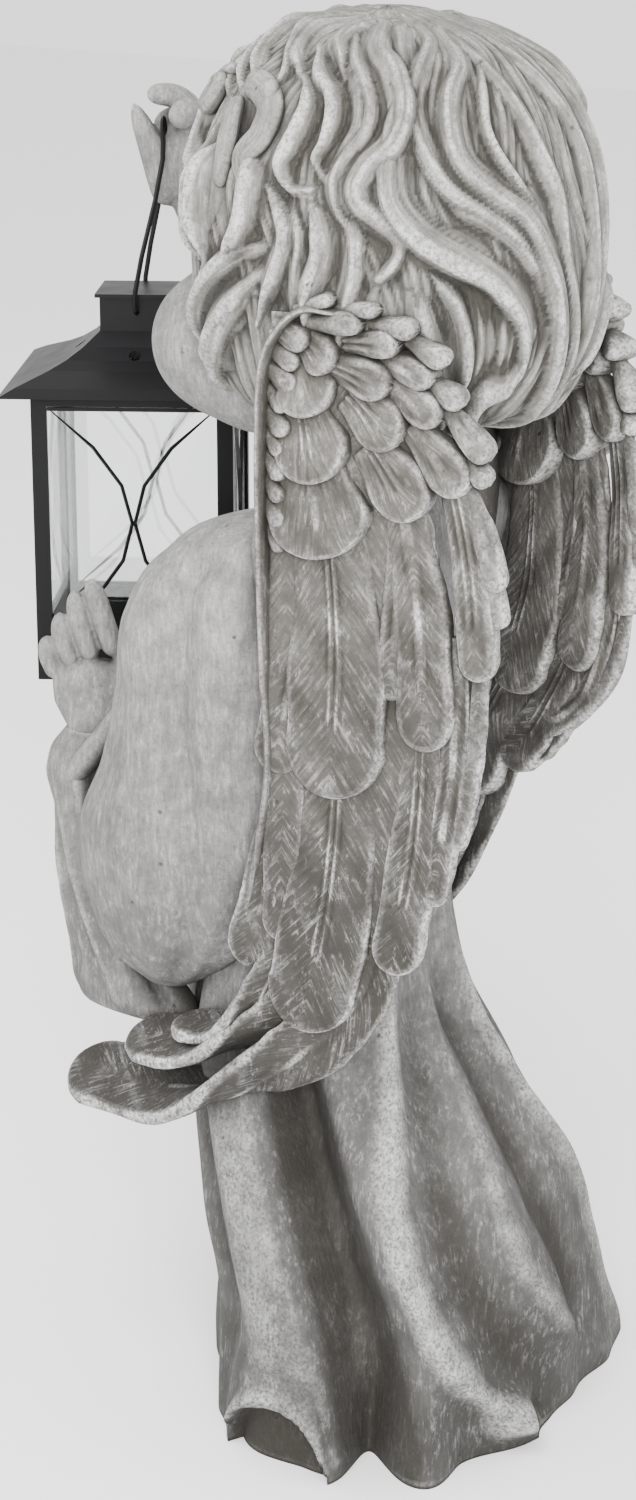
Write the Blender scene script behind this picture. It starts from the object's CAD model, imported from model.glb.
# Child angel of cast stone with a small lantern, after the photograph. Lengths in the carving
# rules are millimetres in the frame's own axes; every mesh is written in metres by MM.
import math
import bpy
import numpy as np
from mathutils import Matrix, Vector


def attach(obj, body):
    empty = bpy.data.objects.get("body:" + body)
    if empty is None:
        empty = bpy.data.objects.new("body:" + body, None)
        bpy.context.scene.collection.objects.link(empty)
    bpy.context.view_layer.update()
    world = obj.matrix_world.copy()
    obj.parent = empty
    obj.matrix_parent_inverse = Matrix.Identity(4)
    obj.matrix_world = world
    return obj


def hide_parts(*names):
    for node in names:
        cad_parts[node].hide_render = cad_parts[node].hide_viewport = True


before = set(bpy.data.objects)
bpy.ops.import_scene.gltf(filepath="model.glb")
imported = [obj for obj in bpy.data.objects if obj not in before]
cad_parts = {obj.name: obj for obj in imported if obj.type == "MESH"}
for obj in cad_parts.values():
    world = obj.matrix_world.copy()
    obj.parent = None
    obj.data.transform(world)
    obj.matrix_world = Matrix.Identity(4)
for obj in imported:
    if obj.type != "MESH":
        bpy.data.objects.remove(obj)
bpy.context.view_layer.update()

MM = 0.001


def placed(name, data):
    """A new object in the scene."""
    made = bpy.data.objects.new(name, data)
    bpy.context.scene.collection.objects.link(made)
    return made


def new_finish(name, **looks):
    """A new material and its shader, with the looks that are plain values."""
    made = bpy.data.materials.new(name)
    made.use_nodes = True
    shader = made.node_tree.nodes["Principled BSDF"]
    for key, value in looks.items():
        shader.inputs[key.replace("_", " ")].default_value = value
    return made, shader


# Camera, floor and light
# The view is from the figure's left and a little behind, from head height, in a pale studio
# with broad soft light from above the camera's left.
CAMERA_AZIMUTH = 125.0
CAMERA_AWAY = 1.52
CAMERA_HEIGHT = 0.875
CAMERA_PITCH = 18.3
CAMERA_ASIDE = 1.18
PHOTO_LENS = 72.5

around = math.radians(CAMERA_AZIMUTH)
camera = placed("camera", bpy.data.cameras.new("camera"))
camera.data.sensor_fit = "VERTICAL"
camera.data.sensor_height = 36.0
camera.data.lens = PHOTO_LENS
camera.location = (math.sin(around) * CAMERA_AWAY, -math.cos(around) * CAMERA_AWAY, CAMERA_HEIGHT)
camera.rotation_euler = (math.radians(90 - CAMERA_PITCH), 0, math.radians(CAMERA_AZIMUTH + CAMERA_ASIDE))
bpy.context.scene.camera = camera

FLOOR_HALF = 6.0
floor_mesh = bpy.data.meshes.new("floor")
floor_mesh.from_pydata([(-FLOOR_HALF, -FLOOR_HALF, 0), (FLOOR_HALF, -FLOOR_HALF, 0),
                        (FLOOR_HALF, FLOOR_HALF, 0), (-FLOOR_HALF, FLOOR_HALF, 0)], [], [(0, 1, 2, 3)])
floor = placed("floor", floor_mesh)
floor_mesh.materials.append(new_finish("pale_floor", Base_Color=(0.91, 0.91, 0.91, 1), Roughness=0.8)[0])

world = bpy.data.worlds.new("studio")
world.use_nodes = True
world.node_tree.nodes["Background"].inputs["Color"].default_value = (1.0, 1.0, 1.0, 1)
world.node_tree.nodes["Background"].inputs["Strength"].default_value = 1.75
bpy.context.scene.world = world

LAMPS = [  # name, azimuth, distance, height, size and power
    ("key", 105, 1.9, 3.0, 1.6, 105), ("fill", 128, 2.3, 1.2, 0.9, 95), ("front", 15, 2.4, 2.0, 1.6, 36),
]
LAMPS_AIM = Vector((0, 0, 0.4))

for name, azimuth, away, height, size, power in LAMPS:
    lamp = placed(name, bpy.data.lights.new(name, "AREA"))
    lamp.data.size = size
    lamp.data.energy = power
    turn = math.radians(azimuth)
    lamp.location = (math.sin(turn) * away, -math.cos(turn) * away, height)
    lamp.rotation_euler = (LAMPS_AIM - lamp.location).to_track_quat("-Z", "Y").to_euler()

# Cast stone
# The whole figure is one casting in grey stone mix. A brown wash lies in its recesses, the
# edges are dry-brushed nearly white, and it darkens towards the ground.
STONES = {  # pale, low, heights where it is dark and pale, streaks, and whitening of the edges
    "cloth": ((0.225, 0.222, 0.215, 1), (0.034, 0.033, 0.030, 1), (0.06, 0.46), 0.42, 0.8),
    "feather": ((0.132, 0.126, 0.111, 1), (0.026, 0.024, 0.021, 1), (0.28, 0.64), 0.50, 1.0),
    "hair": ((0.205, 0.201, 0.183, 1), (0.056, 0.053, 0.045, 1), (0.40, 0.60), 0.62, 1.0),
}
WASH = (0.015, 0.013, 0.0095, 1)
BRUSHED = (0.50, 0.50, 0.48, 1)
PIT = (0.022, 0.02, 0.016, 1)
# How far off a hollow's other side may be, and how deep the grain is, in metres.
HOLLOW_REACH = 0.022
GRAIN_DEPTH = 0.0016


def node(tree, kind, links=(), **values):
    made = tree.nodes.new(kind)
    for key, value in values.items():
        setattr(made, key, value)
    for socket, source in links:
        if isinstance(source, bpy.types.NodeSocket):
            tree.links.new(source, made.inputs[socket])
        else:
            made.inputs[socket].default_value = source
    return made


def cast_stone(name, grain):
    """Stone with streaks along the cloth, the locks of hair or the barbs of a feather."""
    pale, dark, heights, streaked, whitened = STONES[grain]
    finish, shader = new_finish(name, Specular_IOR_Level=0.3)
    tree = finish.node_tree
    place = node(tree, "ShaderNodeTexCoord").outputs["Object"]

    def noise(scale, detail=3.0, stretch=None, rough=0.55):
        source = place
        if stretch:
            source = node(tree, "ShaderNodeMapping", [("Vector", place), ("Scale", stretch)]).outputs[0]
        return node(tree, "ShaderNodeTexNoise", [("Vector", source), ("Scale", scale), ("Detail", detail),
                                                 ("Roughness", rough)]).outputs["Fac"]

    def ranged(value, low, high, start=0.0, end=1.0):
        return node(tree, "ShaderNodeMapRange", [("Value", value), ("From Min", low), ("From Max", high),
                                                 ("To Min", start), ("To Max", end)]).outputs["Result"]

    def maths(operation, first, second=0.0):
        return node(tree, "ShaderNodeMath", [(0, first), (1, second)], operation=operation).outputs[0]

    def measure(key):
        return node(tree, "ShaderNodeAttribute", attribute_name=key).outputs["Fac"]

    def mixed(factor, first, second):
        made = node(tree, "ShaderNodeMix", data_type="RGBA")
        for key, value in (("Factor_Float", factor), ("A_Color", first), ("B_Color", second)):
            target = next(s for s in made.inputs if s.identifier == key)
            if isinstance(value, bpy.types.NodeSocket):
                tree.links.new(value, target)
            else:
                target.default_value = value
        return next(s for s in made.outputs if s.identifier == "Result_Color")

    height = node(tree, "ShaderNodeSeparateXYZ", [("Vector", place)]).outputs["Z"]
    blotch = noise(16.0, 5.0, rough=0.65)
    mottle = noise(75.0, 5.0, rough=0.7)
    speckle = noise(520.0, 3.0, rough=0.7)
    scratch = noise(1.0, 5.0, (420, 420, 170), 0.75)
    if grain == "cloth":
        streak = noise(1.0, 5.0, (420, 420, 75), 0.7)
    else:
        drawn_out = maths("MULTIPLY", measure("along"), 0.07)
        run = node(tree, "ShaderNodeCombineXYZ", [("X", measure("across")), ("Y", drawn_out)])
        streak = node(tree, "ShaderNodeTexNoise", [("Vector", run.outputs[0]), ("Scale", 0.62),
                                                   ("Detail", 3.0), ("Roughness", 0.7)]).outputs["Fac"]
    hollow = node(tree, "ShaderNodeAmbientOcclusion", [("Distance", HOLLOW_REACH)], samples=8).outputs["AO"]
    edge = node(tree, "ShaderNodeNewGeometry").outputs["Pointiness"]
    relief = measure("relief")

    low = maths("ADD", ranged(height, heights[1], heights[0], 0.0, 0.92),
                ranged(blotch, 0.35, 0.65, -0.12, 0.22))
    stone = mixed(maths("MAXIMUM", low, 0.0), pale, dark)
    stone = mixed(ranged(mottle, 0.40, 0.68, 0.0, 0.42), stone, dark)
    stone = mixed(ranged(streak, 0.47, 0.70, 0.0, streaked), stone, dark)
    worn = maths("MULTIPLY", ranged(streak, 0.48, 0.34), ranged(mottle, 0.60, 0.42))
    stone = mixed(maths("MULTIPLY", worn, 0.26), stone, BRUSHED)
    stone = mixed(maths("MULTIPLY", ranged(speckle, 0.46, 0.38), 0.30), stone, dark)
    flecks = maths("MULTIPLY", ranged(scratch, 0.56, 0.66), ranged(mottle, 0.56, 0.42))
    stone = mixed(maths("MULTIPLY", flecks, 0.34 * whitened), stone, BRUSHED)
    wash = maths("MAXIMUM", ranged(hollow, 0.86, 0.22), ranged(relief, -0.10, -0.80, 0.0, 0.92))
    wash = maths("MULTIPLY", wash, ranged(blotch, 0.30, 0.62, 0.82, 1.0))
    stone = mixed(maths("MULTIPLY", wash, 0.96), stone, WASH)
    crest = maths("MAXIMUM", ranged(edge, 0.512, 0.585), ranged(relief, 0.25, 0.95))
    brushed = maths("MULTIPLY", crest, ranged(speckle, 0.36, 0.60, 0.15, 1.0))
    brushed = maths("MULTIPLY", brushed, ranged(mottle, 0.62, 0.40, 0.45, whitened))
    stone = mixed(maths("MULTIPLY", brushed, ranged(hollow, 0.40, 0.80)), stone, BRUSHED)
    pits = node(tree, "ShaderNodeTexVoronoi", [("Vector", place), ("Scale", 95.0)]).outputs["Distance"]
    pitted = maths("MULTIPLY", ranged(pits, 0.12, 0.06), ranged(noise(30.0), 0.55, 0.60))
    stone = mixed(maths("MULTIPLY", pitted, 0.7), stone, PIT)
    tree.links.new(stone, shader.inputs["Base Color"])
    tree.links.new(ranged(speckle, 0.3, 0.7, 0.78, 0.95), shader.inputs["Roughness"])
    grainy = maths("ADD", maths("MULTIPLY", streak, -0.7), maths("MULTIPLY", speckle, 0.25))
    grainy = maths("ADD", grainy, maths("MULTIPLY", mottle, 0.5))
    grainy = maths("SUBTRACT", grainy, maths("MULTIPLY", pitted, 0.6))
    bump = node(tree, "ShaderNodeBump", [("Height", grainy), ("Strength", 0.85), ("Distance", GRAIN_DEPTH)])
    tree.links.new(bump.outputs[0], shader.inputs["Normal"])
    return finish


def read_rows(rows, height):
    """Values of a table of stations at any height, joined by smooth curves."""
    rows = np.asarray(rows, float)
    knots, values = rows[:, 0], rows[:, 1:]
    slopes = np.gradient(values, knots, axis=0)
    height = np.clip(height, knots[0], knots[-1])
    i = np.clip(np.searchsorted(knots, height, side="right") - 1, 0, len(knots) - 2)
    span = knots[i + 1] - knots[i]
    s = ((height - knots[i]) / span)[..., None]
    span = span[..., None]
    return ((2 * s**3 - 3 * s**2 + 1) * values[i] + (s**3 - 2 * s**2 + s) * span * slopes[i]
            + (3 * s**2 - 2 * s**3) * values[i + 1] + (s**3 - s**2) * span * slopes[i + 1])


def bell(value, spread):
    return np.exp(-(value / spread) ** 2)


def smooth(value, low, high):
    s = np.clip((value - low) / (high - low), 0, 1)
    return s * s * (3 - 2 * s)


def ripple(points, size, seed):
    """Gentle uneven swelling of a hand-made surface, between -1 and 1."""
    rng = np.random.default_rng(seed)
    total = np.zeros(points.shape[:-1])
    for octave in range(3):
        for _ in range(6):
            way = rng.normal(size=3)
            way /= np.linalg.norm(way)
            phase = points @ way * 2 * math.pi * 1.7**octave / size + rng.uniform(0, 7)
            total += np.sin(phase) / 1.9**octave
    return total / 7


class Carving:
    """Closed lofts gathered into one mesh, with the measures that the stone finish reads."""

    MEASURES = ("along", "across", "relief")

    def __init__(self):
        self.points, self.faces, self.count = [], [], 0
        self.measures = {key: [] for key in self.MEASURES}

    def loft(self, rings, **measures):
        """rings is (number of sections, points in a section, 3); both ends are closed."""
        n, sides = rings.shape[:2]
        for key in self.MEASURES:
            value = np.broadcast_to(measures.get(key, 0.0), (n, sides))
            self.measures[key] += [value.reshape(-1), [value[0].mean(), value[-1].mean()]]
        index = np.arange(sides)
        after = (index + 1) % sides
        row = np.arange(n - 1)[:, None] * sides + self.count
        corners = [row + index, row + after, row + sides + after, row + sides + index]
        faces = np.stack(corners, -1).reshape(-1, 4)
        ends, top = self.count + n * sides, self.count + (n - 1) * sides
        low = np.stack([self.count + after, self.count + index, np.full(sides, ends)], -1)
        high = np.stack([top + index, top + after, np.full(sides, ends + 1)], -1)
        middle = rings.mean(1, keepdims=True)
        cross = np.cross(np.roll(rings, -1, 1)[:-1] - rings[:-1], rings[1:] - rings[:-1])
        if np.einsum("ijk,ijk->", cross, rings[:-1] - middle[:-1]) < 0:
            faces, low, high = faces[:, ::-1], low[:, ::-1], high[:, ::-1]
        self.points += [rings.reshape(-1, 3), rings[0].mean(0)[None], rings[-1].mean(0)[None]]
        self.faces += [faces, low, high]
        self.count += n * sides + 2

    def mesh(self, name):
        made = bpy.data.meshes.new(name)
        faces = [row.tolist() for block in self.faces for row in block]
        made.from_pydata((np.concatenate(self.points) * MM).tolist(), [], faces)
        for key, rows in self.measures.items():
            layer = made.attributes.new(key, "FLOAT", "POINT")
            values = np.concatenate([np.ravel(row) for row in rows]).astype(np.float32)
            layer.data.foreach_set("value", values)
        made.polygons.foreach_set("use_smooth", np.ones(len(made.polygons), bool))
        made.update()
        return made


def finished(name, mesh, finish, slot, *nodes):
    """A finished piece rides on the figure and stands for the frame's own solids."""
    piece = placed(name, mesh)
    mesh.materials.clear()
    mesh.materials.append(finish)
    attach(piece, "root")
    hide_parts(*nodes)
    return piece


# Robe
# A long gown in one fall from the shoulders to the ground, cast with the body inside it. It
# swings forward at the belly, and its train swirls back and to the right on the ground.
ROBE_STATIONS = [
    (0, 112, 100, 8), (30, 110, 98, 14), (60, 110, 97, 18), (90, 110, 97, 15), (118, 109, 98, 8),
    (146, 104, 97, 0), (171, 98, 92, -9), (200, 90, 86, -20), (225, 84, 78, -29), (266, 77, 66, -30),
    (316, 71, 54, -24), (370, 68, 52, -18), (420, 71, 54, -12), (465, 74, 52, -5), (490, 68, 46, -2),
    (508, 48, 40, -2), (520, 34, 34, -4),
]
HEM_ANGLES = [-22, -4, 13, 26, 34, 43, 62, 84, 112, 135, 155, 176, 200, 225, 250, 272, 292, 315]
HEM_REACH = [102, 113, 118, 119, 104, 130, 107, 111.5, 116.5, 134, 157, 132, 112, 102, 103, 98, 90, 86]
HEM_FADE = 105
# Folds: rise, half width before and after the line, sharpness, then heights and angles.
ROBE_FOLDS = [
    (-33, 7, 14, 2.8, [(0, 33), (12, 34), (39, 30), (60, 26), (84, 22), (126, 18), (162, 15), (195, 14),
        (330, 14)]),
    (5, 9, 3, 1.6, [(0, 27), (36, 22), (57, 17), (81, 10), (123, 5), (162, 2), (207, 1), (330, 0)]),
    (15, 5, 9, 1.3, [(0, 88), (18, 79), (30, 72), (51, 60), (81, 49), (117, 43), (144, 42), (156, 42),
        (189, 49), (222, 58), (261, 64), (330, 66)]),
    (-10, 13, 12, 2.2, [(0, 100), (45, 82), (99, 63), (153, 60), (201, 67), (246, 76), (330, 78)]),
    (8, 10, 8, 1.4, [(0, 132), (21, 124), (72, 94), (111, 79), (144, 76), (171, 76), (204, 79), (246, 87),
        (330, 90)]),
    (-10, 8, 8, 2.2, [(0, 122), (93, 108), (129, 98), (153, 96), (186, 94), (330, 92)]),
    (10, 8, 7, 1.4, [(0, 146), (90, 136), (120, 128), (162, 116), (189, 108), (330, 102)]),
    (-8, 7, 8, 2.2, [(0, 156), (90, 148), (140, 138), (330, 122)]),
    (6, 12, 10, 1.8, [(0, -2), (63, 0), (99, -9), (147, -9), (180, -12), (330, -20)]),
    (-8, 8, 8, 2.0, [(0, -20), (120, -26), (230, -34), (330, -40)]),
    (7, 10, 10, 1.5, [(0, 200), (150, 205), (330, 210)]),
    (-9, 9, 9, 2.0, [(0, 222), (150, 226), (330, 232)]), (6, 9, 9, 1.5, [(0, 245), (150, 247), (330, 250)]),
    (-9, 8, 8, 2.0, [(0, 264), (150, 266), (330, 268)]), (7, 9, 9, 1.5, [(0, 285), (150, 286), (330, 284)]),
    (-8, 8, 8, 2.0, [(0, 306), (150, 308), (330, 304)]), (6, 9, 9, 1.5, [(0, 176), (150, 176), (330, 172)]),
]
ROBE_SIDES = 340
ROBE_RINGS = 215
DENSEST_ANGLE = 55
FOLD_FADE = 100
FOLDS_EASED_AT_HEM = 0.42
# The hem's arch on the left: angle, half width and height; how deep it is cut, and its lip.
HEM_ARCH = (6, 17, 38)
ARCH_DEPTH, ARCH_LIP = 11, 4.5
# The curled corner of the hem: angle, half width, rise and height.
HEM_CURL = (77, 8, 13, 22)
UNEVENNESS = 1.3
DEEP_FOLD = 11

angle = np.linspace(-180, 180, ROBE_SIDES, endpoint=False)[None, :]
angle = angle + DENSEST_ANGLE - 24 * np.sin(np.radians(angle))
height = np.linspace(0, ROBE_STATIONS[-1][0], ROBE_RINGS)[:, None]
around_way = np.stack([np.cos(np.radians(angle)), np.sin(np.radians(angle)), 0 * angle], -1)
half_x, half_y, middle = np.moveaxis(read_rows(ROBE_STATIONS, height), -1, 0)
plain = np.stack([half_x * around_way[..., 0], half_y * around_way[..., 1] + middle, height + 0 * angle], -1)
hem_rows = np.stack([HEM_ANGLES + [HEM_ANGLES[0] + 360], HEM_REACH + HEM_REACH[:1]], -1)
hem = read_rows(hem_rows, np.mod(angle - HEM_ANGLES[0], 360) + HEM_ANGLES[0])[..., 0]
weight = smooth(HEM_FADE - height, 0, HEM_FADE)[..., None]
hem_rings = hem[..., None] * around_way + np.array([0, 0, 1]) * height[..., None]
robe_rings = plain * (1 - weight) + hem_rings * weight
rise = np.zeros(plain.shape[:2])
for depth, before, after, power, path in ROBE_FOLDS:
    path = np.array(path, float)
    away = np.mod(angle - np.interp(height, path[:, 0], path[:, 1]) + 180, 360) - 180
    shape = np.exp(-np.abs(away / np.where(away < 0, before, after)) ** power)
    rise = rise + depth * shape * np.clip((path[-1, 0] - height) / FOLD_FADE, 0, 1)
rise = rise * (1 - FOLDS_EASED_AT_HEM * weight[..., 0])
arch_at, arch_half, arch_top = HEM_ARCH
arch = arch_top * np.sqrt(np.clip(1 - ((angle - arch_at) / arch_half) ** 2, 0, 1))
under = smooth(arch - height, 0, 4)
rise = rise - ARCH_DEPTH * under + ARCH_LIP * bell(height - arch - 5, 6) * smooth(arch, 2, 14)
curl_at, curl_wide, curl_rise, curl_tall = HEM_CURL
rise = rise + curl_rise * bell(angle - curl_at, curl_wide) * bell(height - curl_tall, 13)
rise = rise - 7 * bell(angle - curl_at - 13, 6) * bell(height - 8, 14)
rise = rise + UNEVENNESS * ripple(robe_rings, 95, 3) * smooth(height, 2, 30) * smooth(510 - height, 0, 60)
robe_relief = np.clip(rise / DEEP_FOLD, -1.0, 0.9) * smooth(330 - height, 0, 90) - 0.5 * under
robe_rings = robe_rings + rise[..., None] * around_way
robe_rings[0, :, 2] = 0

robe = Carving()
robe.loft(robe_rings, relief=robe_relief)
stone_cloth = cast_stone("cast_stone_cloth", "cloth")
finished("robe", robe.mesh("robe"), stone_cloth, "stone", "angel_figure")

# Wings
# A pair of layered wings cast in one with the back. Short thick feathers lie like scales at
# the top, long ones hang below, and the lowest sweep forward around the robe.
WING_OUT = 105.8
WING_TOE_IN = 0.31
WING_TOE_OUT = 0.15
# Root and tip of each feather as Y, Z, then its width and half thickness, lowest layers first.
SHORT_FEATHERS = [
    (29, 546, 38, 504, 54, 13.4), (56, 561, 83, 528, 31, 12.2), (24, 576, 35, 541, 40, 13.8),
    (76, 572, 104, 541, 23, 11.2), (47, 585, 73, 563, 28, 13.0), (23, 600, 31, 573, 33, 14.0),
    (65, 592, 92, 575, 19, 12.0), (38, 598, 69, 590, 21, 13.2), (25, 609, 42, 598, 22, 14.2),
    (62, 603, 89, 594, 16, 12.2), (44, 609, 73, 611, 15, 13.0), (26, 618, 56, 620, 13, 14.0),
    (100, 560, 114, 545, 11, 9.2), (92, 582, 114, 557, 13, 10.4), (82, 594, 102, 583, 12, 11.0),
    (73, 613, 94, 602, 11, 11.4), (54, 619, 80, 617, 11, 12.0), (38, 625, 63, 626, 9, 12.4),
    (21, 623, 42, 631, 9, 12.6),
]
LONG_FEATHERS = [
    (19, 400, -7, 283, 29, 5.4), (111, 470, 101, 360, 11, 5.0), (100, 469, 89, 329, 17, 6.2),
    (83, 440, 70, 290, 28, 7.6), (43, 420, 25, 253, 49, 9.2), (24, 503, 11, 390, 30, 7.4),
    (71, 526, 68, 434, 20, 7.6), (111, 514, 120, 475, 11, 6.4), (102, 546, 119, 493, 13, 7.6),
    (96, 549, 111, 448, 21, 8.8), (72, 540, 86, 410, 30, 10.0), (36, 526, 40, 381, 53, 11.6),
]
LEAFLETS = [  # root and tip as Y, Z, then the width
    (7, 520, 16, 505, 9), (6, 531, 17, 518, 11), (6, 543, 16, 530, 10), (6, 553, 18, 542, 12),
    (6, 564, 17, 553, 10), (6, 574, 20, 564, 12), (7, 585, 19, 575, 11), (7, 595, 24, 586, 13),
    (8, 605, 25, 597, 12), (10, 615, 30, 608, 15),
]
# Swept feathers as rows of Y, Z, then width, half thickness and how far the tip is laid over.
SWEPT_FEATHERS = [
    ([(66, 345), (50, 272), (2, 224), (-62, 192), (-143, 184)], 42, 5.6, 122),
    ([(44, 330), (18, 264), (-30, 231), (-96, 216)], 36, 5.0, 112),
    ([(30, 325), (4, 270), (-24, 243), (-60, 234)], 28, 4.8, 100),
]
# The right wing is drawn forward below one height, and its lowest feathers are shorter.
DRAWN_BELOW, DRAWN_MOST, DRAWN_RATE, DRAWN_FROM, DRAWN_FULL = 480, 150, 0.0025, 60, 150
SHORTER_BELOW, SHORTER_BY, SHORTER_FROM, SHORTER_FULL = 392, 0.52, 30, 60
WING_RIM = [
    (46, 623), (28, 625), (15, 615), (7, 596), (5, 560), (5, 520), (6, 450), (8, 392), (-2, 330), (-12, 288),
]
WING_ROOT, WING_ROOT_RADII = (72, 2, 500), (32, 17, 52)
FEATHER_GRID = 1.58
BARB_SPACING, BARB_DEPTH = 4.4, 0.34
SHAFT_RISE, SHAFT_SPLIT = 0.85, 0.9


def curve_points(path, count):
    """Even points along a smooth curve through a few places."""
    path = np.asarray(path, float)
    if len(path) == 2:
        return path[0] + (path[1] - path[0]) * np.linspace(0, 1, count)[:, None]
    ends = np.concatenate([[2 * path[0] - path[1]], path, [2 * path[-1] - path[-2]]])
    fine = np.linspace(0, len(path) - 1, 40 * len(path))
    i = np.minimum(fine.astype(int), len(path) - 2)
    s = (fine - i)[:, None]
    a, b, c, d = ends[i], ends[i + 1], ends[i + 2], ends[i + 3]
    dense = 0.5 * (2 * b + (c - a) * s + (2 * a - 5 * b + 4 * c - d) * s**2 + (3 * b - a - 3 * c + d) * s**3)
    run = np.concatenate([[0], np.cumsum(np.linalg.norm(np.diff(dense, axis=0), axis=1))])
    return np.stack([np.interp(np.linspace(0, run[-1], count), run, dense[:, k]) for k in range(3)], -1)


def frames(path, facing, turn):
    """Directions along, across and out at every point of a path."""
    along = np.gradient(path, axis=0)
    along /= np.linalg.norm(along, axis=1, keepdims=True)
    across = np.cross(along, facing)
    across /= np.linalg.norm(across, axis=1, keepdims=True)
    out = np.cross(across, along)
    turn = np.radians(turn)[:, None]
    return along, across * np.cos(turn) + out * np.sin(turn), out * np.cos(turn) - across * np.sin(turn)


def feather(carving, path, width, half, facing, turn=0.0, barb_angle=34, shaft=0.75, seed=0, flat=False,
            bevel=4.2):
    """A closed lens with a rounded tip, a split shaft and slanting barbs on both of its faces."""
    rng = np.random.default_rng(seed)
    path = np.asarray(path, float)
    length = np.linalg.norm(np.diff(path, axis=0), axis=1).sum()
    rows = max(10, int(length / FEATHER_GRID))
    cells = max(8, int(width / FEATHER_GRID))
    step = np.linspace(0, 1, rows)
    step = step * (1.12 - 0.12 * step**2)
    fine = curve_points(path, 200)
    centre = np.stack([np.interp(step, np.linspace(0, 1, 200), fine[:, k]) for k in range(3)], -1)
    _, across, out = frames(centre, facing, turn * smooth(step, 0.25, 0.85))
    v = np.linspace(-1, 1, cells)
    u = (v * (1.2 - 0.2 * v**2))[None, :]
    along_mm = (step * length)[:, None]
    end = min(0.55 * width, 0.55 * length)
    past = np.clip(along_mm - (length - end), 0, end)
    wide = width / 2 * (0.70 + 0.30 * smooth(step, 0.0, 0.6))[:, None]
    wide = wide * (1 + 0.035 * np.sin(along_mm / 9.0 + rng.uniform(0, 6)))
    wide = wide * np.sqrt(np.clip(1 - (past / end) ** 2, 0.0004, 1))
    across_mm = u * wide
    full = width / 2
    across_mm = across_mm * (1 + 0.02 * np.sin(along_mm / 2.7 + rng.uniform(0, 6)))
    from_tip = full * (1 - np.sqrt((across_mm / full) ** 2 + (past / end) ** 2))
    inside = np.where(past > 0, from_tip, wide - np.abs(across_mm))
    edge = min(bevel, full * 0.6)
    rounded = np.sqrt(np.clip(1 - (1 - np.clip(inside / edge, 0, 1)) ** 2, 0, 1))
    thick = half * (0.30 + 0.70 * smooth(step, 0.0, 0.8))[:, None]
    lift = thick * (0.82 + 0.18 * (1 - np.clip(np.abs(across_mm) / full, 0, 1) ** 2))
    tilt = math.radians(barb_angle)
    barb = np.abs(across_mm) * math.cos(tilt) - along_mm * math.sin(tilt)
    barb_run = along_mm * math.cos(tilt) + np.abs(across_mm) * math.sin(tilt)
    relief = np.zeros_like(barb)
    if not flat:
        wander = 0.9 * np.sin(barb_run / 11 + rng.uniform(0, 6))
        wander = wander + 0.6 * np.sin(barb / 6.1 + rng.uniform(0, 6))
        comb = 0.5 + 0.5 * np.cos((barb + wander) * 2 * math.pi / BARB_SPACING)
        strong = 0.5 + 0.5 * np.sin(barb / 4.3 + barb_run / 13 + rng.uniform(0, 6))
        clear = smooth(np.abs(across_mm), 1.2, 3.5)
        relief -= BARB_DEPTH * comb**2 * strong * clear * smooth(inside, 0.3, 2.5)
        stem = smooth(shaft * length - along_mm, 0, 6) * smooth(width, 8, 16)
        beside = bell(across_mm - 1.5, 0.9) + bell(across_mm + 1.5, 0.9)
        relief += stem * (SHAFT_RISE * beside - SHAFT_SPLIT * bell(across_mm, 0.8))
        relief -= stem * 0.5 * bell(np.abs(across_mm) - 3.6, 1.1)
        relief += 0.35 * np.sin(along_mm / 7 + across_mm / 5 + rng.uniform(0, 6))
    faces = []
    for way in (1, -1):
        height = rounded * np.maximum(lift + relief * rounded, 0.05)
        face = centre[:, None] + across[:, None] * across_mm[..., None]
        faces.append(face + way * out[:, None] * height[..., None])
    ring = np.concatenate([faces[0], faces[1][:, -2:0:-1]], 1)
    shift = rng.uniform(0, 300)
    rim = 1.3 * bell(inside - 1.0, 1.5) * smooth(step, 0.25, 0.7)[:, None]
    along, across, relief = [np.concatenate([value, value[:, -2:0:-1]], 1)
                             for value in (barb_run + shift, barb + shift, relief + rim)]
    carving.loft(ring, along=along, across=across, relief=relief)


def ball(carving, middle, radii, sides=36, rows=22):
    """An oval lump."""
    fall = np.linspace(0.02, math.pi - 0.02, rows)[:, None]
    aside = np.linspace(0, 2 * math.pi, sides, endpoint=False)[None, :]
    unit = np.stack([np.sin(fall) * np.cos(aside), np.sin(fall) * np.sin(aside),
                     np.cos(fall) + 0 * aside], -1)
    carving.loft(unit * np.array(radii) + np.array(middle))


def tube(carving, path, wide, deep, facing, sides=24, grid=1.5, ends=0.12):
    """A rounded limb or cord of oval section; wide and deep are read evenly along the path."""
    length = np.linalg.norm(np.diff(np.asarray(path, float), axis=0), axis=1).sum()
    count = max(8, int(length / grid))
    centre = curve_points(path, count)
    step = np.linspace(0, 1, count)
    _, across, out = frames(centre, facing, 0 * step)
    wide = np.interp(step, np.linspace(0, 1, len(wide)), wide)
    deep = np.interp(step, np.linspace(0, 1, len(deep)), deep)
    edge = np.clip(np.minimum(step, 1 - step) / ends, 0, 1)
    rounded = np.maximum(np.sqrt(edge * (2 - edge)), 0.04)[:, None, None]
    turnabout = np.linspace(0, 2 * math.pi, sides, endpoint=False)[None, :, None]
    ring = centre[:, None] + rounded * (across[:, None] * np.cos(turnabout) * wide[:, None, None]
                                        + out[:, None] * np.sin(turnabout) * deep[:, None, None])
    carving.loft(ring, along=(step * length)[:, None], across=(turnabout[..., 0] * wide.mean()))


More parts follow.
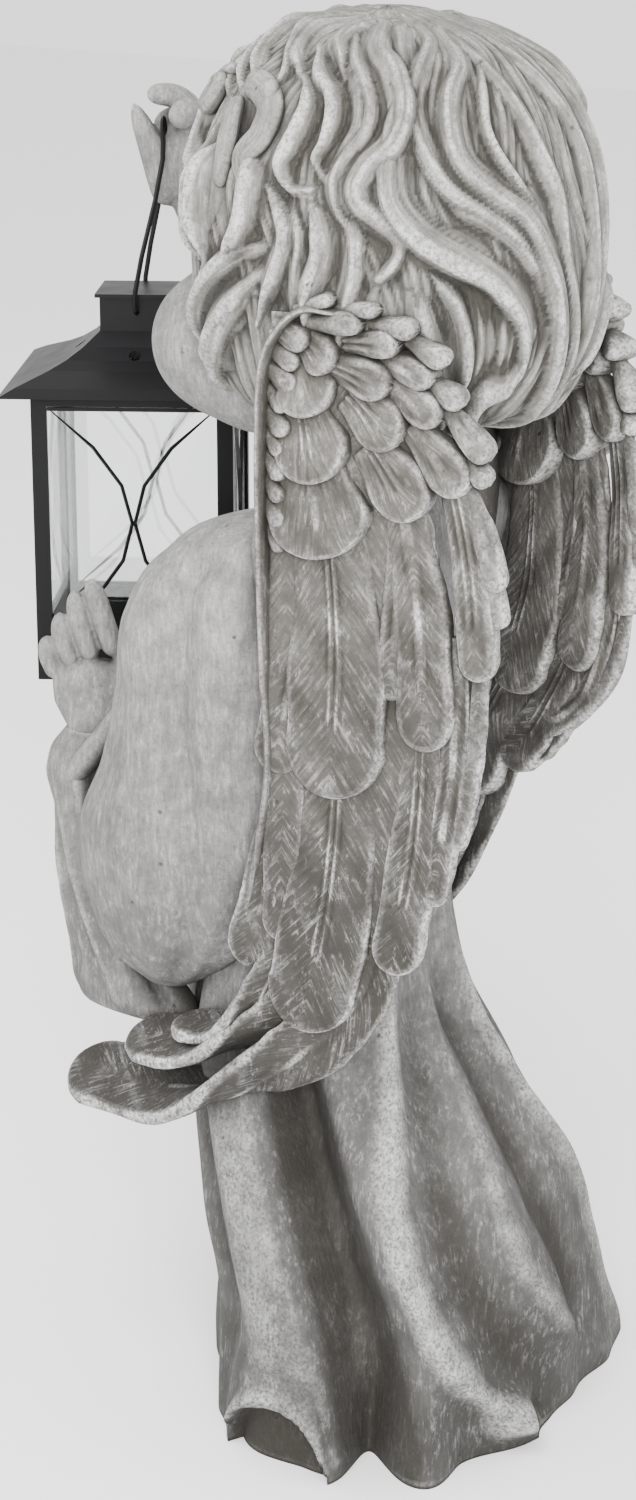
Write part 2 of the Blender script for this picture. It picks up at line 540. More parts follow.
stone_feather = cast_stone("cast_stone_feather", "feather")
for side, wing_name in ((1, "left_wing"), (-1, "right_wing")):
    def on_vane(points):
        y, z = np.asarray(points, float).T
        if side < 0:
            drop = np.clip(DRAWN_BELOW - z, 0, DRAWN_MOST)
            raised = np.maximum(SHORTER_BELOW - z, 0) * np.clip((y + SHORTER_FROM) / SHORTER_FULL, 0, 1)
            forward = drop**2 * np.clip((y + DRAWN_FROM) / DRAWN_FULL, 0, 1)
            y, z = y - DRAWN_RATE * forward, z + SHORTER_BY * raised
        slope = np.where(y > 0, -WING_TOE_IN, WING_TOE_OUT)
        return np.stack([side * (WING_OUT + slope * y), y, z], -1)

    outward = np.array([side, WING_TOE_IN, 0]) / math.hypot(1, WING_TOE_IN)
    wing = Carving()
    feather(wing, on_vane([(48, 606), (52, 450), (44, 300)]), 90, 3.4, outward, flat=True)
    for count, (path, width, half, turn) in enumerate(SWEPT_FEATHERS):
        feather(wing, on_vane(path), width, half, outward, turn=side * turn, seed=60 + count)
    for count, (root_y, root_z, tip_y, tip_z, width, half) in enumerate(LONG_FEATHERS):
        bow = np.array([0.5 * (root_y + tip_y) + 0.03 * (root_z - tip_z), 0.5 * (root_z + tip_z)])
        feather(wing, on_vane([(root_y, root_z), bow, (tip_y, tip_z)]), width, half, outward,
                seed=20 + count)
    for count, (root_y, root_z, tip_y, tip_z, width, half) in enumerate(SHORT_FEATHERS):
        feather(wing, on_vane([(root_y, root_z), (tip_y, tip_z)]), width, half, outward,
                barb_angle=14, shaft=0.72, seed=40 + count, bevel=2.8)
    for count, (root_y, root_z, tip_y, tip_z, width) in enumerate(LEAFLETS):
        feather(wing, on_vane([(root_y, root_z), (tip_y, tip_z)]), width, 9.5 + count % 2, outward,
                barb_angle=20, seed=70 + count, bevel=2.0)
    tube(wing, on_vane(WING_RIM), [2.2, 2.8, 3.2, 3.2], [12.5, 12.0, 9.0, 5.0], outward, sides=28, ends=0.03)
    feather(wing, on_vane([(17, 622), (17, 480), (14, 300)]), 24, 6.0, outward, flat=True)
    ball(wing, (side * WING_ROOT[0], *WING_ROOT[1:]), WING_ROOT_RADII)
    finished(wing_name, wing.mesh(wing_name), stone_feather, "stone", "angel_figure")

# Hair
# Thick carved curls and waves that fall from the crown in S-shaped locks, cut with finer
# strands. The far side repeats the near side's locks as a mirror image.
HAIR_MIDDLE = np.array([0, 4, 662])
HAIR_RADII = np.array([95, 110, 95])
HAIR_SIDES = 500
HAIR_ROWS = 172
GROOVE_DEEPENED = 0.5
FRONT_SHALLOWER = 0.16
FACE_OPENING = (0.60, -0.44, 0.68)
HEAD_TURNED = -8
# Each lock: longitude from the face round the left side and latitude, then half width and lift.
WAVES_BEHIND = [
    ([(-138, 67), (-143, 52), (-146, 37), (-148, 22), (-151, 7), (-152, -6), (-155, -19), (-158, -32),
        (-161, -44)], 5.6, 6),
    ([(-170, 70), (-166, 55), (-164, 36), (-162, 21), (-162, 6), (-160, -10), (-160, -24), (-162, -36),
        (-166, -50), (-170, -60)], 5.2, 6),
    ([(163, 67), (171, 52), (174, 38), (177, 22), (181, 8), (183, -7), (189, -22), (196, -38), (193, -49),
        (187, -60)], 4.8, 6),
    ([(165, 64), (162, 49), (152, 36), (151, 21), (158, 13), (168, 6), (174, -3), (180, -15), (186, -33),
        (190, -49), (188, -62)], 6.2, 8),
    ([(169, 49), (160, 32), (160, 23), (166, 12), (174, 3)], 2.6, 8),
    ([(155, 68), (153, 58), (143, 46), (139, 36), (140, 27), (143, 19), (148, 12), (157, 6), (166, -2),
        (172, -12), (177, -23)], 4.8, 7),
    ([(141, 65), (138, 50), (137, 36), (134, 25), (132, 16), (133, 8), (139, 1), (150, -6), (160, -13),
        (168, -22), (170, -33), (163, -38)], 6.6, 9.5),
    ([(140, 14), (145, 7), (156, 0), (166, -8), (175, -19)], 3.3, 6),
    ([(-158, -34), (-162, -46), (-168, -56), (-174, -63), (-180, -67)], 5.7, 6),
    ([(172, -26), (167, -36), (159, -39), (161, -47), (170, -55), (166, -60), (155, -62)], 3.8, 9),
]
LOCKS_ASIDE = [
    ([(121, 68), (122, 52), (127, 43), (130, 33), (128, 25), (122, 19), (119, 12), (121, 6), (126, 2),
        (131, -3), (130, -8), (127, -11)], 7.1, 10.5),
    ([(108, 62), (114, 50), (119, 41), (122, 33), (121, 26), (116, 19), (114, 12), (116, 4),
        (121, -3)], 4.3, 7),
    ([(98, 55), (107, 44), (113, 38), (115, 30), (113, 23), (110, 19), (112, 15)], 3.8, 9),
    ([(112, 50), (118, 38), (119, 29), (116, 22), (113, 16)], 3.3, 6),
    ([(96, 45), (103, 41), (107, 34), (106, 27), (104, 21), (102, 16), (104, 11), (109, 11)], 3.8, 10),
    ([(102, 73), (89, 64), (89, 55), (92, 49), (98, 44)], 3.8, 6),
    ([(134, 72), (108, 67), (102, 57), (108, 50), (113, 43)], 4.3, 5),
    ([(103, 77), (62, 73), (71, 62), (82, 52), (88, 43), (86, 38)], 4.3, 6.5),
    ([(22, 74), (30, 65), (55, 56), (69, 47), (80, 38)], 4.2, 6),
    ([(28, 63), (40, 55), (56, 46), (71, 36)], 3.8, 6),
    ([(28, 54), (36, 47), (51, 40), (66, 33)], 3.6, 6),
    ([(60, 22), (57, 12), (57, 0), (63, -9), (70, -13)], 6.1, 10),
    ([(73, 24), (72, 12), (72, 0), (74, -12)], 6.4, 11.5),
    ([(86, 22), (88, 11), (87, 0), (81, -11)], 6.1, 10),
    ([(97, -7), (87, -11), (72, -20), (56, -30), (48, -36)], 4.6, 8),
    ([(95, -12), (85, -18), (69, -28), (54, -38)], 4.3, 9),
    ([(93, -19), (82, -27), (66, -37), (54, -45)], 3.6, 8),
    ([(95, 9), (99, 3), (101, -3), (98, -12), (93, -24)], 4.3, 8),
    ([(104, 9), (103, 4), (105, -3), (104, -12), (104, -26)], 3.5, 6),
    ([(109, 9), (113, 1), (114, -7), (111, -17), (109, -30)], 4.8, 8),
    ([(113, 9), (119, -1), (119, -11), (116, -22), (114, -36)], 4.3, 6),
    ([(122, -4), (123, -11), (122, -20), (123, -36)], 3.8, 5),
    ([(129, -12), (127, -20), (130, -30), (137, -43), (146, -56), (154, -66)], 5.2, 8),
    ([(134, -12), (135, -20), (138, -29), (144, -40), (151, -50)], 3.3, 6),
    ([(138, -13), (140, -20), (144, -29), (148, -37)], 2.8, 7),
    ([(140, -12), (146, -19), (149, -26), (149, -33), (148, -41)], 3.3, 8),
]
FRINGE = [
    ([(4, 80), (-9, 60), (4, 44), (-6, 30), (5, 18)], 5.4, 9),
    ([(20, 76), (26, 58), (13, 43), (20, 29), (12, 17)], 4.8, 8),
    ([(-20, 76), (-27, 58), (-15, 44), (-24, 30), (-14, 18)], 5.0, 8),
    ([(30, 58), (38, 44), (26, 32), (35, 20), (30, 11)], 4.8, 9),
    ([(-32, 60), (-40, 45), (-28, 33), (-37, 20), (-30, 10)], 4.8, 9),
    ([(42, 40), (50, 30), (42, 20), (50, 10), (46, 2)], 4.4, 8),
    ([(-42, 42), (-52, 31), (-43, 20), (-52, 9), (-47, 0)], 4.4, 8),
    ([(12, 60), (18, 48), (5, 36), (12, 26)], 4.0, 7),
    ([(-8, 76), (-18, 64), (-8, 50), (-18, 38), (-10, 26)], 4.0, 7),
]
# The thin waves under the locks: sideways swing at each latitude.
UNDER_SWAY = [0, 7, -3, -8, 0, 7, 2, -6]
UNDER_LATITUDES = [78, 55, 34, 14, -6, -26, -44, -62]
LOCK_FULLNESS = 2.25
LOCK_LEAN = 0.42
STRAND_SPACING = 4.6
STRAND_DEPTH = 0.8
# Dug hollows: longitude, latitude, half width in degrees and depth.
HOLLOWS = [(152, -20, 8, 9), (75, 25, 9, 7), (86, 27, 6, 5)]


def hair_way(lon_lat):
    """Unit directions from longitude and latitude in degrees."""
    lon, lat = np.radians(np.asarray(lon_lat, float)).T
    return np.stack([np.sin(lon) * np.cos(lat), -np.cos(lon) * np.cos(lat), np.sin(lat)], -1)


def hair_lock(points, path, half_width, lift, height, along, across, crest):
    """Raises the surface where a lock runs, and notes the run of its strands."""
    line = curve_points(hair_way(path) * HAIR_RADII, 14 * len(path))
    line = line / np.linalg.norm(line / HAIR_RADII, axis=1, keepdims=True)
    far = np.linalg.norm(line - line.mean(0), axis=1).max() + half_width * 2
    near = np.linalg.norm(points - line.mean(0), axis=1) < far
    spots = points[near]
    gap = np.full(len(spots), 1e9)
    where, aside = np.zeros(len(spots)), np.zeros(len(spots))
    run = np.concatenate([[0], np.cumsum(np.linalg.norm(np.diff(line, axis=0), axis=1))])
    for k in range(len(line) - 1):
        step = line[k + 1] - line[k]
        t = np.clip(((spots - line[k]) @ step) / (step @ step), 0, 1)
        away = spots - line[k] - t[:, None] * step
        distance = np.linalg.norm(away, axis=1)
        closer = distance < gap
        gap = np.where(closer, distance, gap)
        where = np.where(closer, run[k] + t * (run[k + 1] - run[k]), where)
        sideways = np.cross(line[k] / HAIR_RADII, step)
        aside = np.where(closer, distance * np.sign(away @ sideways), aside)
    share = where / run[-1]
    width = LOCK_FULLNESS * half_width * (0.55 + 0.45 * smooth(share, 0, 0.3))
    width = width * (1 - 0.7 * smooth(share, 0.62, 1.0))
    lean = LOCK_LEAN * (1 if int(half_width * 10) % 2 else -1)
    s = np.clip(aside / width, -1, 1)
    body = (0.5 + 0.5 * np.cos(math.pi * (s - lean) / (1 - lean * s))) ** 0.85
    rise = 1.15 * lift * (0.3 + 0.7 * smooth(share, 0.0, 0.35)) * (1 - 0.45 * smooth(share, 0.7, 1.0))
    phase = 2 * math.pi * aside / STRAND_SPACING + 0.9 * np.sin(where / 9.0) + half_width * 3
    strands = 0.5 + 0.5 * np.cos(phase)
    top = np.where(gap < width, rise * body, -1.0)
    win = top > height[near]
    index = np.flatnonzero(near)[win]
    height[index] = top[win]
    along[index] = where[win] + half_width * 40
    across[index] = aside[win] + half_width * 23
    crest[index] = (strands**2 * smooth(body, 0.1, 0.5) * smooth(share, 0.02, 0.2))[win]


lat = np.linspace(-89.5, 89.5, HAIR_ROWS)[:, None]
lon = np.linspace(-180, 180, HAIR_SIDES, endpoint=False)[None, :]
way = hair_way(np.stack(np.broadcast_arrays(lon, lat), -1).reshape(-1, 2))
spots = way * HAIR_RADII
hair_height = 0.9 * np.sin(np.radians(lon + 0 * lat).ravel() * 34 + 2.0 * np.sin(way[:, 2] * 4))
hair_along = 60 * way[:, 2]
hair_across = np.radians(lon + 0 * lat).ravel() * 80
hair_crest = np.zeros(len(way))
hair_fields = (hair_height, hair_along, hair_across, hair_crest)
for count, start in enumerate(range(-174, 186, 12)):
    sway = np.array(UNDER_SWAY) * (1 if count % 2 else 0.6)
    under = [(start + sideways, up) for sideways, up in zip(sway, UNDER_LATITUDES)]
    hair_lock(spots, under, 6.0, 2.6, *hair_fields)
for path, half_width, lift in WAVES_BEHIND + FRINGE + LOCKS_ASIDE:
    hair_lock(spots, path, half_width, lift, *hair_fields)
for path, half_width, lift in LOCKS_ASIDE:
    hair_lock(spots, [(-a, b) for a, b in path], half_width, lift, *hair_fields)
for at, up, wide, deep in HOLLOWS:
    away = np.degrees(np.arccos(np.clip(way @ hair_way([(at, up)])[0], -1, 1)))
    hair_height = hair_height - deep * bell(away, wide)
open_x, open_z, open_tall = FACE_OPENING
facing = np.hypot(way[:, 0] / open_x, (way[:, 2] - open_z) / open_tall)
facing = np.where(way[:, 1] < 0, facing, 2)
shown = smooth(facing, 0.97, 1.09)
nape = 1 - 0.34 * smooth(-way[:, 2], 0.70, 1.0)
fall = 1 + 0.34 * smooth(-way[:, 2], 0.05, 0.85)
front = 1 - FRONT_SHALLOWER * smooth(-way[:, 1], 0, 0.6)
full = 1 + 0.13 * bell(way[:, 2] + 0.6, 0.35)
scale = (0.60 + 0.40 * shown) * nape * full
normal = way / HAIR_RADII
normal /= np.linalg.norm(normal, axis=1, keepdims=True)
hair_height = hair_height * shown * (1 - 0.75 * smooth(way[:, 2], 0.86, 0.995))


def blurred(values, passes):
    field = values.reshape(HAIR_ROWS, HAIR_SIDES).copy()
    for _ in range(passes):
        field = 0.5 * field + 0.25 * (np.roll(field, 1, 1) + np.roll(field, -1, 1))
        field[1:-1] = 0.5 * field[1:-1] + 0.25 * (field[2:] + field[:-2])
    return field.ravel()


hair_height = blurred(hair_height, 1)
carved = hair_height - blurred(hair_height, 14)
hair_height = hair_height + GROOVE_DEEPENED * carved - STRAND_DEPTH * hair_crest * shown
hair_crest = np.clip(carved / 1.5 - 0.75 * hair_crest + 0.15, -1, 1) * shown
tall = 0.5 * scale + 0.5 * (0.88 + 0.12 * scale)
hair_points = HAIR_MIDDLE + spots * np.stack([scale, scale * front, tall * fall], -1)
hair_points = hair_points + normal * hair_height[:, None]

turn = math.radians(HEAD_TURNED)
head_turn = np.array([[math.cos(turn), -math.sin(turn), 0], [math.sin(turn), math.cos(turn), 0], [0, 0, 1]])
hair = Carving()
grid = (HAIR_ROWS, HAIR_SIDES)
hair.loft((hair_points @ head_turn.T).reshape(*grid, 3), along=hair_along.reshape(grid),
          across=hair_across.reshape(grid), relief=hair_crest.reshape(grid))


def on_hair(lon_lat, lift):
    way = hair_way(lon_lat)
    out = way / HAIR_RADII
    out /= np.linalg.norm(out, axis=1, keepdims=True)
    shallow = 1 - FRONT_SHALLOWER * smooth(-way[:, 1:2], 0, 0.6) * np.array([0, 1, 0])
    return (HAIR_MIDDLE + way * HAIR_RADII * shallow + out * np.reshape(lift, (-1, 1))) @ head_turn.T


def spiral(at, size, turns, start, thick, lift):
    """A curl wound up on the surface of the hair."""
    centre, out = on_hair([at], lift)[0], on_hair([at], 1)[0] - on_hair([at], 0)[0]
    up = np.array([0, 0, 1]) - out * out[2]
    up /= np.linalg.norm(up)
    right = np.cross(up, out)
    t = np.linspace(0, 1, 30)
    sweep = math.radians(start) + t * turns * 2 * math.pi
    reach = size * (1 - 0.72 * t)
    path = centre + reach[:, None] * (np.cos(sweep)[:, None] * right + np.sin(sweep)[:, None] * up)
    path = path + (4.5 * t - 2)[:, None] * out
    tube(hair, path, [thick, thick, thick * 0.7], [thick, thick * 1.1, thick * 0.8], out, sides=22,
         grid=1.2, ends=0.06)


RIBBONS = [  # longitude and latitude, lift, half width, half depth and the way that it faces
    ([(72, 38), (83, 38), (92, 32), (92, 24), (87, 17), (90, 8)], [1, 4, 5, 5, 4, 1],
     [7.0, 8.0, 7.4, 6.6, 4.4], [3.6, 4.6, 4.2, 3.6, 2.4], (1, 0, 0.3)),
    ([(70, 34), (76, 27), (79, 18), (76, 8)], [1, 3, 4, 1],
     [6.0, 6.6, 5.0], [3.8, 4.2, 3.0], (1, -0.3, 0.3)),
]

for mirror in (1, -1):
    spiral((mirror * 50, 33), 12.0, 1.35 * mirror, 90 - 20 * mirror, 4.8, 6)
    spiral((mirror * 33, 30), 6.5, -1.2 * mirror, 60, 3.2, 4)
    ball(hair, on_hair([(mirror * 91, 36)], 8)[0], (4.6, 4.6, 6.2), 24, 16)
    for path, lifts, wide, deep, (out_x, out_y, out_z) in RIBBONS:
        ribbon = on_hair([(mirror * a, b) for a, b in path], lifts)
        tube(hair, ribbon, wide, deep, (mirror * out_x, out_y, out_z), sides=22, grid=1.2)
stone_hair = cast_stone("cast_stone_hair", "hair")
finished("hair", hair.mesh("hair"), stone_hair, "stone", "angel_figure")

# Head
# A child's head with round cheeks and a calm, closed-eyed face, looking a little to its right.
# It is one with the casting, and the hair covers all of it but the face.
HEAD_MIDDLE = np.array([0, -12, 620])
HEAD_FORMS = [  # middle and radii of the rounded masses
    ((0, -12, 632), (84, 92, 102)), ((36, -76, 586), (40, 40, 39)), ((-36, -76, 586), (40, 40, 39)),
    ((0, -84, 580), (32, 27, 26)), ((0, -86, 554), (26, 24, 22)), ((34, -48, 566), (34, 40, 26)),
    ((-34, -48, 566), (34, 40, 26)), ((0, -62, 560), (34, 36, 24)),
]
FACE_MARKS = [  # x, z, half width, half height and rise, each on both sides of the middle
    (31, 620, 17, 11, -5.0), (31, 618.5, 13, 7.5, 5.2), (30, 637, 20, 5, 2.2), (9, 612, 4, 12, -1.6),
    (7.5, 596.5, 4.6, 4.2, 4.2), (16.5, 577, 3.2, 3.0, -2.0), (22, 584, 5, 9, -1.0),
    (4.2, 590.5, 2.0, 1.4, -2.6), (5.5, 581.6, 5.5, 2.6, 2.2), (0, 587, 2.0, 4.0, -1.4),
    (0, 598.5, 6.2, 6.0, 9.5), (0, 608, 4.6, 10, 5.0), (0, 622, 4.2, 11, 2.6), (0, 580.6, 11, 3.0, 2.6),
    (0, 573.2, 10, 3.4, 3.6), (0, 565.5, 9, 2.6, -2.0), (0, 556, 12, 8, 2.5), (0, 578, 24, 12, 1.5),
]
FACE_LINES = [  # x, z points of a fine groove, its half width and depth, on both sides
    ([(18.5, 615.5), (23, 612.6), (30, 611.2), (37, 612.6), (43.5, 617)], 0.9, 1.5),
    ([(17.5, 619), (23, 626), (31, 628.4), (39, 626.4), (45, 620.5)], 1.0, 1.1),
    ([(-1, 577.0), (3.5, 576.4), (8, 577.2), (12.5, 577.0), (16.5, 578.2)], 0.9, 2.1),
]
HEAD_SIDES = 200
HEAD_ROWS = 150
SOFTNESS = 4.5

# Columns and rows of points lie closest together on the face.
spread = np.linspace(-1, 1, HEAD_SIDES, endpoint=False)[None, :]
lon = 180 * spread * (0.52 + 0.48 * spread**2)
spread = np.linspace(-1, 1, HEAD_ROWS)[:, None]
lat = -16 + 73.5 * spread + 15.5 * (spread**3) + 16 * spread**2
lat = np.clip(lat, -89.4, 89.4)
lat[-1] = 89.7
way = hair_way(np.stack(np.broadcast_arrays(lon, lat), -1).reshape(-1, 2))
reach = np.zeros(len(way))
total = np.zeros(len(way))
for middle, radii in HEAD_FORMS:
    start = (HEAD_MIDDLE - middle) / np.array(radii)
    step = way / radii
    a, b, c = (step**2).sum(1), step @ start, start @ start - 1
    inside = b * b - a * c
    far = np.where(inside > 0, (-b + np.sqrt(np.maximum(inside, 0))) / a, 0)
    total += np.exp(np.clip(far, 0, 200) / SOFTNESS)
skin = HEAD_MIDDLE + way * (SOFTNESS * np.log(total) - SOFTNESS * 0.6)[:, None]
front = smooth(-way[:, 1], 0.1, 0.4)
rise = np.zeros(len(way))
for x, z, wide, tall, lift in FACE_MARKS:
    for side in ((1, -1) if x else (1,)):
        rise += lift * bell(skin[:, 0] - side * x, wide) * bell(skin[:, 2] - z, tall)
for path, wide, deep in FACE_LINES:
    for side in (1, -1):
        line = curve_points([(side * x, 0, z) for x, z in path], 40)
        gap = np.hypot(skin[:, None, 0] - line[None, :, 0], skin[:, None, 2] - line[None, :, 2])
        rise -= deep * bell(gap.min(axis=1), wide)
push = way * 0.45 + np.array([0, -0.55, 0])
skin = skin + push * (rise * front)[:, None]
head = Carving()
head.loft((skin @ head_turn.T).reshape(HEAD_ROWS, HEAD_SIDES, 3))
tube(head, [(0, -2, 480), (0, -8, 530), (0, -16, 580)], [38, 33, 36], [38, 34, 36], (0, 1, 0.2), sides=90,
     grid=2.0, ends=0.02)
finished("head", head.mesh("head"), stone_cloth, "stone", "angel_figure")

# Sleeves
# Wide sleeves cast on the arms: a full rounded pouch on the left with an inner edge hanging
# from the wrist, and a smaller one pushed back to the right elbow.
LEFT_SLEEVE = [
    (245, 72, -86, 10, 14), (262, 76, -80, 24, 36), (296, 79, -72, 35, 57), (334, 80, -68, 39, 64),
    (377, 79, -58, 38, 56), (414, 78, -52, 37, 53), (455, 78, -44, 36, 56), (488, 76, -32, 33, 44),
    (508, 70, -20, 22, 26), (514, 66, -14, 10, 12),
]
LEFT_SLEEVE_FOLDS = [
    (-6.5, 10, [(245, 34), (281, 33), (307, 32), (337, 31), (374, 21), (400, 12), (432, 6), (480, -2)]),
    (4.0, 12, [(245, 16), (300, 4), (340, -10), (400, -18), (470, -24)]),
    (-3.5, 12, [(245, 66), (314, 56), (340, 50), (390, 48), (430, 50)]),
    (-3.0, 8, [(245, 100), (330, 92), (400, 84), (480, 78)]),
    (1.2, 4, [(245, -30), (330, -34), (420, -36), (480, -40)]),
]
LEFT_CUFF = [
    (217, 67, -110, 8, 30), (220, 67, -110, 13, 38), (226, 67, -111, 16, 40), (240, 67, -116, 16, 35),
    (285, 67, -127, 18, 30), (325, 64, -136, 20, 29), (350, 61, -142, 21, 28), (364, 60, -145, 19, 24),
    (374, 60, -145, 14, 16),
]
LEFT_CUFF_FOLDS = [
    (-8, 11, [(215, 48), (260, 44), (300, 36), (350, 24)]), (5, 8, [(215, -76), (240, -74), (300, -60)]),
    (4, 8, [(240, 0), (300, -20), (350, -40)]), (-4, 7, [(240, -34), (300, -50), (350, -66)]),
    (2.5, 9, [(219, 20), (270, 12), (340, 6)]), (-2.5, 9, [(219, -22), (280, -30), (350, -40)]),
    (-4.0, 12, [(219, -120), (280, -130), (350, -140)]),
]
RIGHT_SLEEVE = [
    (352, -112, -62, 8, 14), (360, -112, -62, 14, 22), (372, -114, -62, 20, 30), (410, -116, -62, 26, 38),
    (450, -118, -62, 29, 42), (490, -116, -62, 27, 40), (514, -112, -58, 16, 24), (520, -110, -56, 7, 10),
]
RIGHT_SLEEVE_FOLDS = [
    (-4.0, 14, [(352, 150), (420, 160), (500, 170)]), (-4.0, 12, [(352, 205), (430, 200), (500, 192)]),
    (3.0, 10, [(352, 178), (500, 180)]), (-3.5, 12, [(352, -60), (430, -64), (500, -70)]),
    (-3.0, 10, [(352, 40), (500, 50)]),
]
WRIST_FOLD = [
    (64, -104, 404), (74, -111, 392), (79, -123, 375), (79, -137, 359), (72, -150, 347), (60, -158, 341),
]
CLOTH_GRID = 1.6


def draped(carving, stations, folds, sides, seed):
    """Hanging cloth over an arm, from its stations of height, middle and half sizes."""
    bottom, top = stations[0][0], stations[-1][0]
    tall = top - bottom
    share = np.linspace(0, 1, int(tall / CLOTH_GRID))[:, None]
    height = bottom + tall * share * share * (3 - 2 * share) * 0.35 + tall * share * 0.65
    angle = np.linspace(-180, 180, sides, endpoint=False)[None, :]
    x, y, half_x, half_y = np.moveaxis(read_rows(stations, height), -1, 0)
    spread = np.stack([np.cos(np.radians(angle)), np.sin(np.radians(angle))], -1)
    rise = np.zeros((len(height), sides))
    for depth, wide, path in folds:
        path = np.array(path, float)
        away = np.mod(angle - np.interp(height, path[:, 0], path[:, 1]) + 180, 360) - 180
        rise += depth * bell(away, wide) * smooth(height, bottom, bottom + 22) * smooth(top - height, 0, 30)
    points = np.stack([x + half_x * spread[..., 0], y + half_y * spread[..., 1], height + 0 * angle], -1)
    rise += 1.0 * ripple(points, 62, seed)
    carving.loft(points + rise[..., None] * np.concatenate([spread, 0 * spread[..., :1]], -1))


left_sleeve = Carving()
draped(left_sleeve, LEFT_SLEEVE, LEFT_SLEEVE_FOLDS, 190, 11)
draped(left_sleeve, LEFT_CUFF, LEFT_CUFF_FOLDS, 100, 12)
tube(left_sleeve, WRIST_FOLD, [5, 6.5, 7, 6.5, 5], [6, 7.5, 8, 7.5, 6], (0.8, 0.5, 0.3), sides=30)
finished("left_sleeve", left_sleeve.mesh("left_sleeve"), stone_cloth, "stone", "angel_figure")

right_sleeve = Carving()
draped(right_sleeve, RIGHT_SLEEVE, RIGHT_SLEEVE_FOLDS, 130, 13)
tube(right_sleeve, [(-66, 0, 478), (-96, -34, 488), (-118, -66, 494)], [42, 36, 30], [38, 34, 30],
     (0, 0, 1), sides=80, ends=0.2)
finished("right_sleeve", right_sleeve.mesh("right_sleeve"), stone_cloth, "stone", "angel_figure")

# Hands
# A small child's hands, one with the casting. The left is raised with its back outwards and its
# fingers together; the right reaches up, and its forefinger carries the lantern's bail.
BACK_OF_LEFT_HAND = (0.82, 0.57, 0)
BACK_OF_RIGHT_HAND = (0.84, 0.54, 0)
FOREARM = [(-124, -76, 492), (-134, -116, 536), (-120, -160, 584), (-108, -190, 622), (-104, -203, 650)]
# Grids of the smooth skins, in metres.
HAND_GRID = 0.0009
ARM_GRID = 0.0015
LEFT_FINGERS = [  # knuckle, middle joint, tip and radius
    ((49, -138, 412), (54, -143, 435), (56, -149, 455), 6.0),
    ((55, -149, 409), (60, -153, 430), (60, -157, 448), 5.9),
    ((61, -157, 405), (65, -161, 421), (65, -163, 436), 5.7),
    ((65, -165, 400), (69, -168, 411), (69, -169, 423), 5.3),
]
RIGHT_FINGERS = [
    ((-105, -200, 682), (-92, -205, 692), (-79, -215, 694), 6.3),
    ((-103, -199, 676), (-88, -194, 685), (-82, -197, 676), 7.6),
    ((-108, -205, 668), (-97, -212, 678), (-92, -215, 668), 7.2),
    ((-110, -209, 656), (-102, -217, 664), (-97, -218, 656), 6.6),
]


def one_skin(name, carving, voxel, passes):
    """Melts crossing forms into one smooth skin and keeps it as a plain mesh."""
    rough = placed(name, carving.mesh(name + "_forms"))
    melt = rough.modifiers.new("melt", "REMESH")
    melt.mode = "VOXEL"
    melt.voxel_size = voxel
    soften = rough.modifiers.new("soften", "SMOOTH")
    soften.factor = 0.5
    soften.iterations = passes
    seen = rough.evaluated_get(bpy.context.evaluated_depsgraph_get())
    skin = bpy.data.meshes.new_from_object(seen)
    rough.modifiers.clear()
    bpy.data.objects.remove(rough)
    skin.polygons.foreach_set("use_smooth", np.ones(len(skin.polygons), bool))
    return skin


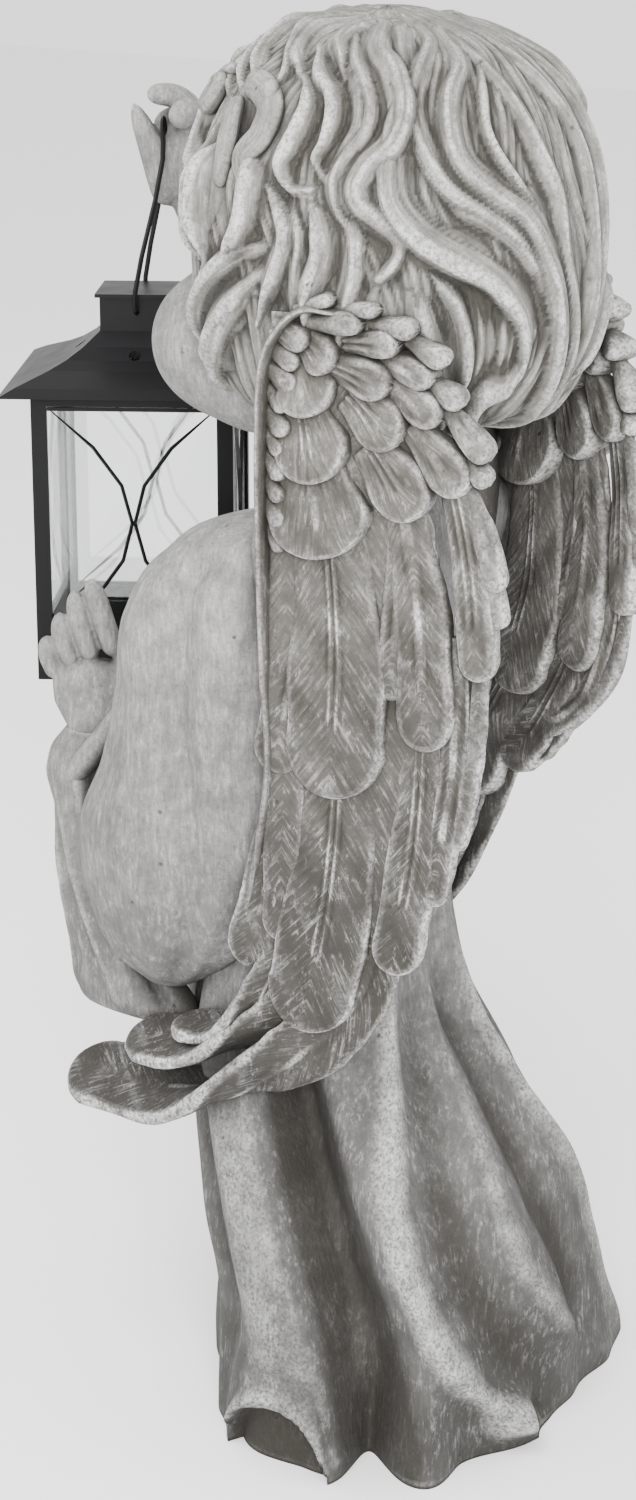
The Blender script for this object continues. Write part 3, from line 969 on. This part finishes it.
left_hand = Carving()
tube(left_hand, [(60, -142, 352), (60, -143, 376), (57, -150, 396), (56, -151, 411)],
     [14, 15, 20.5, 19], [12, 12, 10.5, 8.5], BACK_OF_LEFT_HAND, sides=32)
for knuckle, joint, tip, radius in LEFT_FINGERS:
    tube(left_hand, [knuckle, joint, tip], [radius + 0.4, radius, radius + 0.2, radius - 1.2],
         [radius + 1.6, radius + 1.0, radius, radius - 1.2], BACK_OF_LEFT_HAND, ends=0.22)
tube(left_hand, [(52, -140, 388), (46, -134, 402), (44, -136, 420)], [10, 9, 6.5], [9, 8, 6], (0, 1, 0),
     ends=0.25)
finished("left_hand", one_skin("left_hand", left_hand, HAND_GRID, 1), stone_cloth, "stone", "angel_figure")

right_arm = Carving()
tube(right_arm, FOREARM, [29, 26, 21, 17, 18], [29, 26, 20, 14.5, 13], BACK_OF_RIGHT_HAND, sides=48,
     ends=0.08)
ball(right_arm, (-103, -205, 660), (16, 19, 25))
for knuckle, joint, tip, radius in RIGHT_FINGERS:
    tube(right_arm, [knuckle, joint, tip], [radius + 1, radius + 0.6, radius - 0.6],
         [radius + 1, radius + 0.4, radius - 1], (0.84, 0.54, 0.1), ends=0.24)
tube(right_arm, [(-97, -207, 632), (-88, -213, 655), (-81, -218, 673), (-76, -222, 689)], [14, 11, 7, 3.6],
     [10, 8.5, 6, 3.8], BACK_OF_RIGHT_HAND, ends=0.2)
finished("right_arm", one_skin("right_arm", right_arm, ARM_GRID, 3), stone_cloth, "stone", "angel_figure")

# Lantern
# A small candle lantern of folded sheet steel, painted semi-matt black, with four glass panes
# held in its corner angles. It hangs by a wire bail, and bent wires stand before each pane.
BLACK = (0.0045, 0.0045, 0.005, 1)
CLEAR = (0.93, 0.97, 0.95, 1)

paint, shader = new_finish("black_paint", Base_Color=BLACK, Specular_IOR_Level=0.12)
tree = paint.node_tree
place = node(tree, "ShaderNodeTexCoord").outputs["Object"]
grime = node(tree, "ShaderNodeTexNoise", [("Vector", place), ("Scale", 60.0), ("Detail", 4.0)]).outputs[0]
patchy = node(tree, "ShaderNodeMapRange", [("Value", grime), ("To Min", 0.34), ("To Max", 0.52)])
tree.links.new(patchy.outputs["Result"], shader.inputs["Roughness"])
glass = new_finish("clear_glass", Base_Color=CLEAR, Roughness=0.02, IOR=1.45, Transmission_Weight=1.0,
                   Alpha=0.35)[0]

FACES = ("front", "right", "back", "left")
IRON_NODES = ["lantern_roof", "lantern_frame", "lantern_bail"] + ["lantern_grille_" + face for face in FACES]
GLASS_NODES = ["lantern_glass_" + face for face in FACES]
for names, finish in ((IRON_NODES, paint), (GLASS_NODES, glass)):
    for name in names:
        for held in bpy.data.objects[name].material_slots:
            held.material = finish
